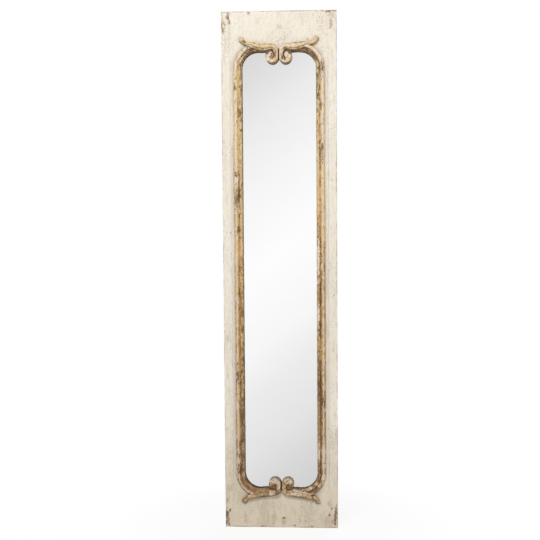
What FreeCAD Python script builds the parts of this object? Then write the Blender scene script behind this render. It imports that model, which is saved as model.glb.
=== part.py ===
import FreeCAD, Part
import math
import os

from FreeCAD import Vector

# A tall, slim wall mirror. A painted panel of boards and edge strips carries a gilt moulding
# with rounded corners. Four scrolls meet in pairs at the middle of its top and bottom.
# The silvered glass lies in a rebate behind the boards, under a back board and three battens.
# Two D-ring hangers sit in the shallow recess at the back.
# Millimetres. X points right as seen from the front, the front faces -Y, and Z points up.
# The origin is the middle of the back, on the wall plane.

# Panel
panel_width = 370.0
panel_height = 1680.0
strip_width = 27.0
strip_depth = 24.0
board_thickness = 14.0
back_board_thickness = 3.0
front_edge_radius = 1.5
joint_chamfer = 0.8
batten_height = 45.0
batten_end_gap = 0.5

# Mirror opening and glass
side_margin = 66.0
end_margin = 130.0
sight_corner_radius = 52.0
moulding_overhang = 2.0
rebate_width = 10.0
glass_thickness = 4.0
glass_edge_gap = 2.0
tape_thickness = 1.0
tape_width = 7.0

# Moulding section, from the sight edge outwards
inner_bead_width = 11.0
inner_bead_side = 3.0
inner_bead_height = 8.0
groove_width = 2.0
groove_height = 4.0
main_bead_width = 15.0
main_bead_side = 6.8
main_bead_height = 14.0
cove_width = 9.0
cove_height = 5.0
cove_edge = 0.8
cove_hollow = 1.4

# Scrolls: a horn, a sloping rail and a volute that curls over the glass
scroll_gap = 0.6
horn_base_offset = 36.0
horn_radius = 23.0
horn_sweep_angle = 72.0
horn_shares = (0.0, 0.1, 0.3, 0.55, 0.8)
horn_tip_half_width = 2.0
horn_tip_height = 5.0
rail_lift = 4.0
rail_shares = (0.0, 0.2, 0.4, 0.6, 0.8)
rail_half_width = 8.0
rail_height = 16.0
volute_reach = 16.5
volute_stretch = 1.4
volute_drop = 7.0
volute_turn_angle = 270.0
volute_step_angle = 30.0
volute_round_angle = 120.0
volute_shrink = 0.4
volute_height = 18.0
volute_end_half_width = 3.2
volute_end_height = 10.0
eye_half_width = 8.5
eye_half_length = 13.5
eye_height = 16.0
eye_lift = 2.0
section_roundness = 0.85
web_height = 7.0
web_inset = 2.0
seat_overlap = 8.0

# Dowels and screws
dowel_radius = 3.0
dowel_length = 40.0
screw_radius = 1.75
screw_head_radius = 3.4
screw_head_height = 2.2
screw_point_length = 2.5
drive_slot_width = 0.9
drive_slot_depth = 1.2
moulding_screw_bite = 8.0
moulding_screw_count = 4
corner_screw_angle = 12.0
scroll_screw_inset = 13.0
board_screw_bite = 10.0
batten_screw_spread = 22.0

# D-ring hangers
hanger_inset = 75.0
hanger_below_top = 72.0
ring_wire_radius = 1.25
ring_bow_radius = 13.0
ring_leg_length = 4.0
ring_corner_radius = 3.0
ring_rest_gap = 0.3
strap_width = 14.0
strap_sheet = 1.0
strap_length = 44.0
strap_first_screw = 26.0
strap_screw_pitch = 11.0
loop_clearance = 0.1

# Places worked out from the sizes above
wall = 0.0
half_width = panel_width / 2
half_height = panel_height / 2
front = wall - strip_depth
board_back = front + board_thickness
cover_back = board_back + back_board_thickness
strip_inner = half_width - strip_width
sight_x = half_width - side_margin
sight_z = half_height - end_margin
opening_x = sight_x + moulding_overhang
opening_z = sight_z + moulding_overhang
rebate_x = opening_x + rebate_width
rebate_z = opening_z + rebate_width
glass_x = rebate_x - glass_edge_gap
glass_z = rebate_z - glass_edge_gap
glass_back = board_back - tape_thickness
glass_front = glass_back - glass_thickness
arc_x = sight_x - sight_corner_radius
arc_z = sight_z - sight_corner_radius
main_bead_start = inner_bead_width + groove_width
main_bead_middle = main_bead_start + main_bead_width / 2
main_bead_end = main_bead_start + main_bead_width
moulding_width = main_bead_end + cove_width
stile_middle = (rebate_x + strip_inner) / 2
screw_pitch = 2 * arc_z / moulding_screw_count
strap_thickness = 2 * strap_sheet
loop_bore = ring_wire_radius + loop_clearance
loop_radius = loop_bore + strap_sheet
ring_x = half_width - hanger_inset
ring_axis_y = cover_back + loop_radius
ring_axis_z = half_height - hanger_below_top
ring_reach = ring_leg_length + ring_bow_radius
ring_rest_lift = strap_thickness + ring_wire_radius + ring_rest_gap - loop_radius
ring_rest_angle = math.degrees(math.asin(ring_rest_lift / ring_reach))

along_x = Vector(1, 0, 0)
along_y = Vector(0, 1, 0)
along_z = Vector(0, 0, 1)
origin = Vector(0, 0, 0)


def block(x0, x1, y0, y1, z0, z1):
    """A box between two corners."""
    return Part.makeBox(x1 - x0, y1 - y0, z1 - z0, Vector(x0, y0, z0))


def flip_x(shape):
    """The same piece on the other side, left for right."""
    return shape.mirror(origin, along_x)


def flip_z(shape):
    """The same piece at the other end, bottom for top."""
    return shape.mirror(origin, along_z)


def line(start, end):
    return Part.LineSegment(start, end).toShape()


def arc(start, middle, end):
    return Part.Arc(start, middle, end).toShape()


def edges_along(shape, direction, x=None, y=None, z=None):
    """The straight edges that run along a direction and pass through the given coordinates."""
    found = []
    for edge in shape.Edges:
        ends = [vertex.Point for vertex in edge.Vertexes]
        if len(ends) != 2 or (ends[1] - ends[0]).cross(direction).Length > 1e-6:
            continue
        wanted = [(x, edge.CenterOfMass.x), (y, edge.CenterOfMass.y), (z, edge.CenterOfMass.z)]
        if all(place is None or abs(place - actual) < 1e-6 for place, actual in wanted):
            found.append(edge)
    return found


def largest(shape):
    """The piece itself, without the off-cuts that a coped joint leaves."""
    return max(shape.Solids, key=lambda solid: solid.Volume)


# Screws. All of them are driven from the back, towards -Y.


def screw_outline(length, head):
    """Half of a screw's outline as (radius, depth): depth grows from the surface that the head sits on."""
    if head == "countersunk":
        top = [(0, 0), (screw_head_radius, 0), (screw_radius, screw_head_height)]
    else:
        top = [
            (0, -screw_head_height),
            (screw_head_radius * 0.8, -screw_head_height),
            (screw_head_radius, -screw_head_height * 0.6),
            (screw_head_radius, 0),
            (screw_radius, 0),
        ]
    return top + [(screw_radius, length - screw_point_length), (0, length)]


def screw_body(x, surface, z, length, head):
    """A plain screw, which is also the shape of the hole that it bites."""
    points = [Vector(radius, -depth, 0) for radius, depth in screw_outline(length, head)]
    face = Part.Face(Part.makePolygon(points + points[:1]))
    body = Part.makeSolid(face.revolve(origin, along_y, 360))
    body.translate(Vector(x, surface, z))
    return body


def cross_recess(x, top, z):
    """The two crossed slots that a screwdriver fits."""
    reach = screw_head_radius * 0.6
    half = drive_slot_width / 2
    across = block(x - reach, x + reach, top - drive_slot_depth, top, z - half, z + half)
    upright = block(x - half, x + half, top - drive_slot_depth, top, z - reach, z + reach)
    return across.fuse(upright)


def screws(places, surface, length, head="countersunk"):
    """Screws at (x, z) places, as (finished screws, plain bodies for their holes)."""
    top = surface if head == "countersunk" else surface + screw_head_height
    bodies = [screw_body(x, surface, z, length, head) for x, z in places]
    finished = [body.cut(cross_recess(x, top, z)) for body, (x, z) in zip(bodies, places)]
    return finished, bodies


def both_sides(x, z):
    return [(-x, z), (x, z)]


def four_ways(x, z):
    return both_sides(x, -z) + both_sides(x, z)


def moulding_screw_places():
    """Side runs, corners and scrolls are each held from behind, through the boards."""
    bead_x = sight_x + main_bead_middle
    first = -arc_z + screw_pitch / 2
    places = []
    for index in range(moulding_screw_count):
        places += both_sides(bead_x, first + index * screw_pitch)
    bead_radius = sight_corner_radius + main_bead_middle
    turn = math.radians(corner_screw_angle)
    places += four_ways(arc_x + bead_radius * math.cos(turn), arc_z + bead_radius * math.sin(turn))
    for x in (horn_base().x - scroll_screw_inset, arc_x - scroll_screw_inset):
        places += four_ways(x, rail_line(x))
    return places


# Scroll centre line, drawn for the top right scroll.


def blend(start, end, share):
    return start + (end - start) * share


def volute_half_width(turn):
    """The curl thins steadily after it leaves the rail."""
    return blend(rail_half_width, volute_end_half_width, turn / volute_turn_angle)


def volute_middle():
    """The middle of the curl, set so that its left side stays half the gap from the mirror's middle."""
    side = volute_half_width(90)
    return Vector(scroll_gap / 2 + side + volute_reach, 0, sight_z - volute_drop)


def horn_base():
    """Where the horn leaves the rail, beside the rounded corner."""
    return Vector(arc_x + horn_base_offset, 0, sight_z + main_bead_middle + rail_lift)


def volute_point(turn):
    """A point on the curl, which keeps its size for the first part of its turn and then winds in."""
    share = max(0.0, (turn - volute_round_angle) / (volute_turn_angle - volute_round_angle))
    reach = volute_reach * (1 - volute_shrink * share ** 2)
    angle = math.radians(turn)
    return volute_middle() + Vector(-reach * math.sin(angle), 0, volute_stretch * reach * math.cos(angle))


def rail_slope():
    start, end = horn_base(), volute_point(0)
    return math.atan2(start.z - end.z, start.x - end.x)


def rail_line(x):
    """Height of the rail's centre line at x."""
    return horn_base().z + (x - horn_base().x) * math.tan(rail_slope())


def horn_point(turn):
    """A point on the horn, which bends away from the rail."""
    base, slope = horn_base(), rail_slope()
    centre = base + Vector(-math.sin(slope), 0, math.cos(slope)) * horn_radius
    angle = slope + math.radians(turn)
    return centre + Vector(math.sin(angle), 0, -math.cos(angle)) * horn_radius


def scroll_stations():
    """Points of the centre line from the horn's tip to the end of the curl, with half width and height."""
    stations = []
    for share in horn_shares:
        swell = math.sin(share * math.pi / 2) ** 0.6
        half = blend(horn_tip_half_width, rail_half_width, swell)
        height = blend(horn_tip_height, rail_height, swell)
        stations.append((horn_point(horn_sweep_angle * (1 - share)), half, height))
    for share in rail_shares:
        point = blend(horn_base(), volute_point(0), share)
        stations.append((point, rail_half_width, blend(rail_height, volute_height, share)))
    for index in range(round(volute_turn_angle / volute_step_angle) + 1):
        turn = index * volute_step_angle
        share = turn / volute_turn_angle
        height = blend(volute_height, volute_end_height, share ** 2)
        stations.append((volute_point(turn), volute_half_width(turn), height))
    return stations


def scroll_section(point, across, half, height):
    """A carved section: flat at the back, upright sides and a rounded face."""
    side = height - section_roundness * half
    forward = Vector(0, -1, 0)
    base = Vector(point.x, front, point.z)
    left, right = base - across * half, base + across * half
    left_top, right_top = left + forward * side, right + forward * side
    edges = [
        line(left, right),
        line(right, right_top),
        arc(right_top, base + forward * height, left_top),
        line(left_top, left),
    ]
    return Part.Wire(edges)


def scroll_stem():
    """Horn, rail and volute, each a run of changing section that starts where the last one ends."""
    stations = scroll_stations()
    points = [point for point, half, height in stations]
    sections = []
    for index, (point, half, height) in enumerate(stations):
        before = points[max(index - 1, 0)]
        after = points[min(index + 1, len(points) - 1)]
        heading = (after - before).normalize()
        across = Vector(-heading.z, 0, heading.x)
        sections.append(scroll_section(point, across, half, height))
    horn_end = len(horn_shares)
    rail_end = horn_end + len(rail_shares)
    horn = Part.makeLoft(sections[:horn_end + 1], True, False)
    rail = Part.makeLoft(sections[horn_end:rail_end + 1], True, False)
    volute = Part.makeLoft(sections[rail_end:], True, False)
    return [horn, rail, volute]


def bead_outline(place):
    """The inner bead's edges, from the sight edge to the groove. place turns (out, up) into a point."""
    return [
        line(place(0, 0), place(0, inner_bead_side)),
        arc(
            place(0, inner_bead_side),
            place(inner_bead_width / 2, inner_bead_height),
            place(inner_bead_width, groove_height),
        ),
        line(place(inner_bead_width, groove_height), place(main_bead_start, groove_height)),
    ]


def scroll_seat():
    """The inner bead and the ledge that carry the rail, from the rounded corner to the volute."""
    start = volute_middle().x + volute_reach - seat_overlap

    def place(out, up):
        return Vector(start, front - up, sight_z + out)

    ledge = main_bead_middle
    edges = bead_outline(place)
    edges += [
        line(place(main_bead_start, groove_height), place(ledge, groove_height)),
        line(place(ledge, groove_height), place(ledge, 0)),
        line(place(ledge, 0), place(0, 0)),
    ]
    return Part.Face(Part.Wire(edges)).extrude(Vector(arc_x - start, 0, 0))


def volute_web():
    """The sunk ground inside the curl."""
    middle = volute_middle()
    centre = Vector(middle.x, front, middle.z)
    tall = centre + Vector(0, 0, volute_stretch * volute_reach - web_inset)
    wide = centre + Vector(volute_reach - web_inset, 0, 0)
    rim = Part.Wire(Part.Ellipse(tall, wide, centre).toShape())
    return Part.Face(rim).extrude(Vector(0, -web_height, 0))


def volute_eye():
    """The rounded bulb that the curl ends in, at the outer edge of the sunk ground."""
    centre = volute_middle() + Vector(volute_reach - eye_half_width, front, eye_lift)
    swell = FreeCAD.Matrix()
    swell.scale(Vector(eye_half_width / eye_height, 1, eye_half_length / eye_height))
    bulb = Part.makeSphere(eye_height).transformGeometry(swell)
    bulb.translate(centre)
    behind = block(-half_width, half_width, front, wall, -half_height, half_height)
    return bulb.cut(behind)


def top_right_scroll():
    horn, rail, volute = scroll_stem()
    return horn.fuse([rail, volute, volute_web(), volute_eye(), scroll_seat()]).removeSplitter()


# Moulding


def moulding_face(x, z):
    """The moulding's full section, standing across the right-hand side at height z."""

    def place(out, up):
        return Vector(x + out, front - up, z)

    cove_middle = place(
        main_bead_end + cove_width / 2 - cove_hollow,
        (cove_height + cove_edge) / 2 - cove_hollow,
    )
    edges = bead_outline(place)
    edges += [
        line(place(main_bead_start, groove_height), place(main_bead_start, main_bead_side)),
        arc(
            place(main_bead_start, main_bead_side),
            place(main_bead_middle, main_bead_height),
            place(main_bead_end, main_bead_side),
        ),
        line(place(main_bead_end, main_bead_side), place(main_bead_end, cove_height)),
        arc(place(main_bead_end, cove_height), cove_middle, place(moulding_width, cove_edge)),
        line(place(moulding_width, cove_edge), place(moulding_width, 0)),
        line(place(moulding_width, 0), place(0, 0)),
    ]
    return Part.Face(Part.Wire(edges))


def right_moulding():
    return moulding_face(sight_x, -arc_z).extrude(Vector(0, 0, 2 * arc_z))


def top_right_corner(scroll):
    """A quarter turn of the moulding, coped where the scroll lies over its end."""
    centre = Vector(arc_x, 0, arc_z)
    turn = moulding_face(sight_x, arc_z).revolve(centre, along_y, -90)
    return largest(turn.cut(scroll))


# Boards


def right_strip():
    strip = block(strip_inner, half_width, front, wall, -half_height, half_height)
    outer = edges_along(strip, along_z, x=half_width, y=front)
    ends = edges_along(strip, along_x, y=front)
    strip = strip.makeFillet(front_edge_radius, outer + ends)
    inner = edges_along(strip, along_z, x=strip_inner, y=front)
    return strip.makeChamfer(joint_chamfer, inner)


def right_stile():
    stile = block(opening_x, strip_inner, front, board_back, -opening_z, opening_z)
    stile = stile.cut(block(opening_x, rebate_x, glass_front, board_back, -opening_z, opening_z))
    return stile.makeChamfer(joint_chamfer, edges_along(stile, along_z, x=strip_inner, y=front))


def top_board():
    board = block(-strip_inner, strip_inner, front, board_back, opening_z, half_height)
    board = board.cut(block(-rebate_x, rebate_x, glass_front, board_back, opening_z, rebate_z))
    board = board.makeFillet(front_edge_radius, edges_along(board, along_x, y=front, z=half_height))
    sides = []
    for x in (-strip_inner, strip_inner):
        sides += edges_along(board, along_z, x=x, y=front)
    return board.makeChamfer(joint_chamfer, sides)


def dowels():
    """Two dowels in each joint of a stile with a board."""
    across = (strip_inner - rebate_x) / 4
    found = []
    for x in (stile_middle - across, stile_middle + across):
        for place_x, place_z in four_ways(x, opening_z):
            start = Vector(place_x, front + board_thickness / 2, place_z - dowel_length / 2)
            found.append(Part.makeCylinder(dowel_radius, dowel_length, start))
    return found


def mirror_glass():
    return block(-glass_x, glass_x, glass_front, glass_back, -glass_z, glass_z)


def glass_tape():
    """Soft strips between the glass and the back board, one along each edge."""
    inner_x, inner_z = glass_x - tape_width, glass_z - tape_width
    upright = block(inner_x, glass_x, glass_back, board_back, -glass_z, glass_z)
    level = block(-inner_x, inner_x, glass_back, board_back, inner_z, glass_z)
    return [upright, flip_x(upright), level, flip_z(level)]


def back_board():
    return block(-strip_inner, strip_inner, board_back, cover_back, -half_height, half_height)


def batten(middle):
    reach = strip_inner - batten_end_gap
    return block(-reach, reach, cover_back, wall, middle - batten_height / 2, middle + batten_height / 2)


# Hangers


def right_strap():
    """A folded steel strap: a loop round the ring's bar, over a tail with a rounded end."""
    x = ring_x
    half = strap_width / 2
    low = ring_axis_z - strap_length

    def place(out, up):
        return Vector(x + out, cover_back, up)

    outline = [
        line(place(-half, ring_axis_z), place(half, ring_axis_z)),
        line(place(half, ring_axis_z), place(half, low + half)),
        arc(place(half, low + half), place(0, low), place(-half, low + half)),
        line(place(-half, low + half), place(-half, ring_axis_z)),
    ]
    tail = Part.Face(Part.Wire(outline)).extrude(Vector(0, strap_thickness, 0))
    start = Vector(x - half, ring_axis_y, ring_axis_z)
    loop = Part.makeCylinder(loop_radius, strap_width, start, along_x)
    bore = Part.makeCylinder(loop_bore, strap_width, start, along_x)
    return tail.fuse(loop).cut(bore).removeSplitter()


def right_ring():
    """A D of round wire. Its bar turns in the strap's loop, and its bow hangs against the strap."""
    x = ring_x
    bow, corner = ring_bow_radius, ring_corner_radius
    bend = corner * (1 - math.sqrt(0.5))

    def place(out, down):
        return Vector(x + out, ring_axis_y, ring_axis_z - down)

    path = Part.Wire([
        line(place(0, 0), place(bow - corner, 0)),
        arc(place(bow - corner, 0), place(bow - bend, bend), place(bow, corner)),
        line(place(bow, corner), place(bow, ring_leg_length)),
        arc(place(bow, ring_leg_length), place(0, ring_reach), place(-bow, ring_leg_length)),
        line(place(-bow, ring_leg_length), place(-bow, corner)),
        arc(place(-bow, corner), place(bend - bow, bend), place(corner - bow, 0)),
        line(place(corner - bow, 0), place(0, 0)),
    ])
    section = Part.Wire(Part.Circle(place(0, 0), along_x, ring_wire_radius).toShape())
    ring = path.makePipeShell([section], True, False)
    return ring.rotate(Vector(x, ring_axis_y, ring_axis_z), along_x, ring_rest_angle)


def hanger_screw_places():
    first = ring_axis_z - strap_first_screw
    x = ring_x
    return both_sides(x, first) + both_sides(x, first - strap_screw_pitch)


def build():
    """Every piece by name."""
    batten_middles = {
        "top_batten": half_height - batten_height / 2,
        "middle_batten": 0.0,
        "bottom_batten": batten_height / 2 - half_height,
    }
    batten_places = []
    for middle in batten_middles.values():
        for z in (middle - batten_screw_spread / 2, middle + batten_screw_spread / 2):
            batten_places += both_sides(stile_middle, z)
    cover_places = four_ways(stile_middle, screw_pitch) + four_ways(stile_middle, 2 * screw_pitch)

    moulding_length = board_thickness + moulding_screw_bite
    batten_length = wall - board_back + board_screw_bite
    cover_length = back_board_thickness + board_screw_bite
    hanger_length = strap_thickness + cover_length
    moulding_screws, moulding_holes = screws(moulding_screw_places(), board_back, moulding_length)
    batten_screws, batten_holes = screws(batten_places, wall, batten_length)
    cover_screws, cover_holes = screws(cover_places, cover_back, cover_length, "pan")
    strap_face = cover_back + strap_thickness
    hanger_screws, hanger_holes = screws(hanger_screw_places(), strap_face, hanger_length, "pan")

    pins = dowels()
    board_holes = pins + moulding_holes + batten_holes + cover_holes + hanger_holes
    cover_cuts = batten_holes + cover_holes + hanger_holes

    stile = right_stile()
    board = top_board()
    scroll = top_right_scroll()
    corner = top_right_corner(scroll)
    side = right_moulding()
    strap = right_strap()
    ring = right_ring()

    pieces = {
        "right_edge_strip": right_strip(),
        "left_edge_strip": flip_x(right_strip()),
        "right_stile": stile.cut(board_holes),
        "left_stile": flip_x(stile).cut(board_holes),
        "top_board": board.cut(board_holes),
        "bottom_board": flip_z(board).cut(board_holes),
        "stile_dowels": pins,
        "mirror_glass": mirror_glass(),
        "glass_tape": glass_tape(),
        "back_board": back_board().cut(cover_cuts),
        "back_board_screws": cover_screws,
        "batten_screws": batten_screws,
        "right_moulding": side.cut(moulding_holes),
        "left_moulding": flip_x(side).cut(moulding_holes),
        "moulding_screws": moulding_screws,
        "right_hanger_strap": strap.cut(hanger_holes),
        "left_hanger_strap": flip_x(strap).cut(hanger_holes),
        "hanger_screws": hanger_screws,
        "right_d_ring": ring,
        "left_d_ring": flip_x(ring),
    }
    for name, middle in batten_middles.items():
        pieces[name] = batten(middle).cut(batten_holes)
    for end, turn_end in (("top", lambda shape: shape), ("bottom", flip_z)):
        for side_name, turn_side in (("right", lambda shape: shape), ("left", flip_x)):
            for kind, shape in (("corner_moulding", corner), ("scroll", scroll)):
                placed = turn_side(turn_end(shape))
                pieces[f"{end}_{side_name}_{kind}"] = placed.cut(moulding_holes)
    return pieces


def export(pieces):
    os.makedirs("parts", exist_ok=True)
    for name, piece in pieces.items():
        shape = Part.makeCompound(piece) if isinstance(piece, list) else piece
        shape.exportStep(f"parts/{name}.step")
        valid = all(solid.isValid() for solid in shape.Solids)
        print(f"{name}: {len(shape.Solids)} solids, {shape.Volume:.0f} mm3, valid {valid}")


export(build())
print(f"ring rests {ring_rest_angle:.2f} degrees from straight down")
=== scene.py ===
import math

import bmesh
import bpy
import numpy as np
from mathutils import Matrix, Vector, noise


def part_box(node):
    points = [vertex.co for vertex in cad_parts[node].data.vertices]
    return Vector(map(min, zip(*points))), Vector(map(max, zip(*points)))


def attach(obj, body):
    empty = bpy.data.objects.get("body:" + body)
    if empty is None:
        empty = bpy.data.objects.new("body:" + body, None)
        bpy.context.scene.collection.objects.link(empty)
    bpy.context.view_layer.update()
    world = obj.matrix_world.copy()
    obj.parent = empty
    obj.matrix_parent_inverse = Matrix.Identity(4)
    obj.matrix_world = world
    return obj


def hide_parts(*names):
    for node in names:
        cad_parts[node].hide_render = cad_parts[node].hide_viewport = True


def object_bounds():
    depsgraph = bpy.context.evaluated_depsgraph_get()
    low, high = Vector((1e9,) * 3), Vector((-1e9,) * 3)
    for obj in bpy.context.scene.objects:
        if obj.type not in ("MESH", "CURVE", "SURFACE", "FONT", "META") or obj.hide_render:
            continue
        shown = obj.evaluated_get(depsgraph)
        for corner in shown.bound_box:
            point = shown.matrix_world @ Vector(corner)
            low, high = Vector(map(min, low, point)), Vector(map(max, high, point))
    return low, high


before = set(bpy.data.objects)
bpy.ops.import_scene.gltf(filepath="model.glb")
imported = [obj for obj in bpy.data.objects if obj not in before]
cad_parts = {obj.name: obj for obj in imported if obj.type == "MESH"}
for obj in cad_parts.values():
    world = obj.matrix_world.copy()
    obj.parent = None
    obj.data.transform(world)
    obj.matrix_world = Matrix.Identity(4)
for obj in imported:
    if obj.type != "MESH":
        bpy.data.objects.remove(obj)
cad_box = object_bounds()

MM = 0.001
SIDES = {"right": 1, "left": -1}
ENDS = {"top": 1, "bottom": -1}

# Sizes read from the solids, apart from the radius of the sight edge's corners

strip_low, strip_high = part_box("right_edge_strip")
run_low, run_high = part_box("right_moulding")
half_width, half_height = strip_high.x, strip_high.z
front = strip_low.y
sight_x, arc_z = run_low.x, run_high.z
sight_corner_radius = 52 * MM
sight_z = arc_z + sight_corner_radius
arc_x = sight_x - sight_corner_radius

# Moulding section, from the sight edge outwards, in millimetres

moulding_width = (run_high.x - run_low.x) / MM
inner_bead_width, groove_width, main_bead_width = 11.0, 2.0, 15.0
main_bead_start = inner_bead_width + groove_width
main_bead_middle = main_bead_start + main_bead_width / 2
main_bead_end = main_bead_start + main_bead_width
inner_bead_foot, inner_bead_rise, inner_bead_tilt = 3.0, 5.0, 1.4
groove_height = 5.6
main_bead_rise, main_bead_tilt = 8.4, 0.6
cove_edge_height, cove_rise = 0.8, 4.2
groove_inset, cove_inset = 0.4, 0.3
bead_points, cove_points = 16, 9

# Carving of the moulding: steps along it, unevenness of the hand and depth of its chips

run_step, corner_step, corner_turns = 1.6 * MM, 1.2 * MM, 60
carving_depth, chip_depth = 2.4 * MM, 0.7 * MM

# Where a scroll's rail takes the place of a corner's outer part, the corner sinks into the panel: the turn in
# degrees at which that starts, the degrees and millimetres that it takes, and the depth of face and underside

sink_turn, sink_blend, sink_edge = 56.0, 8.0, 2.0
sunk_face, sunk_underside = 0.6 * MM, 3.0 * MM

# Scroll, drawn for the top right, in millimetres out from the middle and up from the sight edge

horn_base_x, horn_base_lift = arc_x / MM + 33.0, 25.5
horn_radius, horn_sweep = 26.0, 80.0
horn_half_width, horn_height, rail_height = 6.0, 7.0, 16.0
tip_round, tip_swell_at, tip_swell_reach = 5.0, 9.0, 7.0
furrow_start, furrow_end, furrow_fade = 18.0, 25.0, 40.0
volute_middle_x, volute_drop, meeting_gap = 23.2, 7.5, 0.4
volute_turn, volute_round, volute_shrink = 270.0, 120.0, 0.28
volute_turns = (0, 60, 120, 180, 225, 270)
volute_height, volute_end_height = 18.0, 12.0
ground_height, ground_hollow, ground_inset_x, ground_inset_z = 8.5, 1.5, 8.0, 10.0
seat_width, seat_edge_height, seat_end_x = 20.5, 4.0, volute_middle_x + 8.5
back_limit, sight_margin, glass_clearance = 0.01, 0.5, 1.5
back_over_glass = (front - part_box("mirror_glass")[0].y) / MM + glass_clearance
horn_stations, rail_stations, curl_stations, seat_stations = 40, 60, 90, 30
stem_stations, stem_columns, stem_smoothing = 260, 41, 13

# Its carving grows over carve_height. The seat is painted darker towards the curl, as shade and grime, and the
# stems darker where the pair meets, as painted shade.

carve_height = 4.0
seat_shade_at, seat_shade_fade = 70.0, 30.0
meeting_at, meeting_fade, meeting_shade = 3.4, 2.4, 1.6

# Shares of a stem's half width: drop of the rail's middle where it widens, depth of its rounded top, and the
# places across it, from -1 to 1, of the carved furrow and the rubbed crest. Below them are the shares of half
# width and height that the horn's very tip keeps, and of its depth that the furrow keeps in the curl.

rail_drop, stem_round = 0.9, 0.85
furrow_place, furrow_half = 0.4, 0.17
crest_place, crest_half = -0.25, 0.3
tip_half_kept, tip_height_kept, furrow_kept = 0.12, 0.15, 0.25

# The curl of the top pair and of the bottom pair. halves are its half widths at volute_turns, spread and
# reach the half width and half length of its outer edge, eye the middle, half sizes and height of its eye.
# The rest: how dark the eye, the ground round it and the seat are painted, as grime and painted shade (the seat
# all along, and more beside the curl), how pale the crest is, as rubbed wear and painted highlight, and how
# whole the gilding.

curls = {
    1: {
        "halves": (8.6, 8.2, 7.8, 8.0, 7.4, 5.5), "spread": 26.2, "reach": 32.4,
        "eye": (26.0, -11.5, 10.5, 14.5, 15.0), "eye_shade_and_grime": 0.0, "ground_shade_and_grime": 1.15,
        "seat_shade_and_grime": (0.75, 0.85), "ridge": 1.0, "whole": 0.6,
    },
    -1: {
        "halves": (8.0, 7.6, 8.4, 10.5, 9.0, 6.0), "spread": 24.2, "reach": 29.5,
        "eye": (27.5, -4.5, 9.0, 9.5, 10.5), "eye_shade_and_grime": 0.85, "ground_shade_and_grime": 1.1,
        "seat_shade_and_grime": (0.3, 0.45), "ridge": 0.55, "whole": 0.35,
    },
}

# Each scroll by end and side: horn lift, half widths along the rail from horn to curl, swelling of the horn's
# tip and depth of the carved furrow

scroll_shapes = {
    (1, 1): (1.0, (6.6, 10.4, 13.2, 13.0, 8.0), 0.2, 1.2),
    (1, -1): (0.98, (6.8, 11.4, 14.0, 14.0, 8.4), 0.4, 1.2),
    (-1, 1): (1.0, (7.0, 11.4, 13.8, 13.4, 8.8), 0.2, 1.0),
    (-1, -1): (1.05, (7.4, 12.4, 14.4, 13.8, 9.0), 0.35, 1.0),
}

# Boards of the panel: seed, edge radius and depth of dents in millimetres. Battens differ by seed alone.
# Cells are those of the meshes, in millimetres. edge_steps are lines over an edge, in shares of its radius.

panel_boards = {
    "right_edge_strip": (41, 2.2, 1.6), "left_edge_strip": (39, 2.2, 1.6),
    "top_board": (50, 1.6, 1.0), "bottom_board": (53, 1.6, 1.0),
}
batten_seeds = {"top_batten": 60, "middle_batten": 62, "bottom_batten": 64}
batten_edge, batten_dent = 1.2, 0.8
panel_cell, batten_cell = (3.0, 4.0, 3.0), (6.0, 4.0, 4.0)
edge_steps = (0.0, 0.3, 0.65)

# How far in from the edges a board is worn, how thick the skin is that chips, and how deep a chip goes

rim_reach, wear_reach, crown_reach = 5 * MM, 2.2 * MM, 2.5 * MM
chip_skin, chip_sink = 1.5 * MM, 0.45 * MM

# Countersinks of the batten screws. Their cutter starts cutter_over above the wood.

head_radius, head_depth, head_room = 3.4 * MM, 2.2 * MM, 0.3 * MM
shank_radius, screw_spread, cutter_over = 1.6 * MM, 22 * MM, 1 * MM
screw_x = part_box("batten_screws")[1].x - head_radius

# Worn places: (x, z, half width, half height) in millimetres. Patches are bare gesso, pits are dark spots:
# dirt, and painted shade under the rails and where the curls meet.

run_patches = {
    1: [
        (124, 60, 5, 60), (124, -150, 4, 40), (136, 25, 3, 8), (139, -600, 5, 34), (124, -600, 2.5, 34),
        (143, 628, 4, 14), (141, 565, 3, 16), (136, 500, 2.5, 16), (142, 430, 3, 14),
    ],
    -1: [(-141, -625, 7, 26), (-142, -430, 4, 14), (-141, 40, 3, 10), (-142, -80, 3, 8), (-140, 300, 4, 20)],
}
corner_patches = {
    (1, 1): [(116, 706, 8, 8), (131, 684, 6, 12), (142, 664, 4, 12), (122, 690, 4, 6)],
    (1, -1): [
        (-104, 722, 12, 6), (-90, 731, 10, 5), (-124, 692, 6, 10), (-138, 668, 4, 10), (-112, 700, 5, 5),
    ],
    (-1, 1): [(96, -706, 12, 6), (139, -672, 5, 14), (118, -694, 6, 6)],
    (-1, -1): [(-112, -672, 5, 6)],
}
moulding_pits = [
    (-137, 250, 12, 30), (-134, 141, 8, 12), (-139, 318, 6, 14), (-131, 512, 5, 30), (-141, 590, 4, 16),
    (-130, 20, 6, 20), (-131, -64, 8, 16), (-140, -330, 5, 40), (-134, -640, 9, 14), (-126, -480, 5, 60),
    (136, -415, 11, 18), (127, -345, 8, 80), (124, 136, 4, 52), (134, 380, 8, 50), (138, 655, 8, 30),
    (124, -640, 6, 40), (134, 540, 4, 18), (128, -180, 5, 30), (104, 702, 14, 6), (-92, 724, 14, 7),
    (116, -704, 12, 8), (106, -714, 14, 8), (-102, -704, 8, 4), (-134, -652, 6, 6),
]
scroll_patches = {
    (1, 1): [(26, 701, 10, 14), (10, 716, 4, 12), (24, 728, 14, 3), (88, 724, 8, 5)],
    (1, -1): [
        (-27, 700, 10, 15), (-32, 688, 8, 6), (-14, 706, 4, 12),
        (-60, 738, 16, 3), (-94, 728, 10, 4), (-124, 752, 4, 4),
    ],
    (-1, 1): [(56, -721, 22, 7), (26, -680, 16, 8), (122, -758, 7, 6)],
    (-1, -1): [(-26, -679, 15, 7), (-8, -696, 4, 14)],
}
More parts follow.
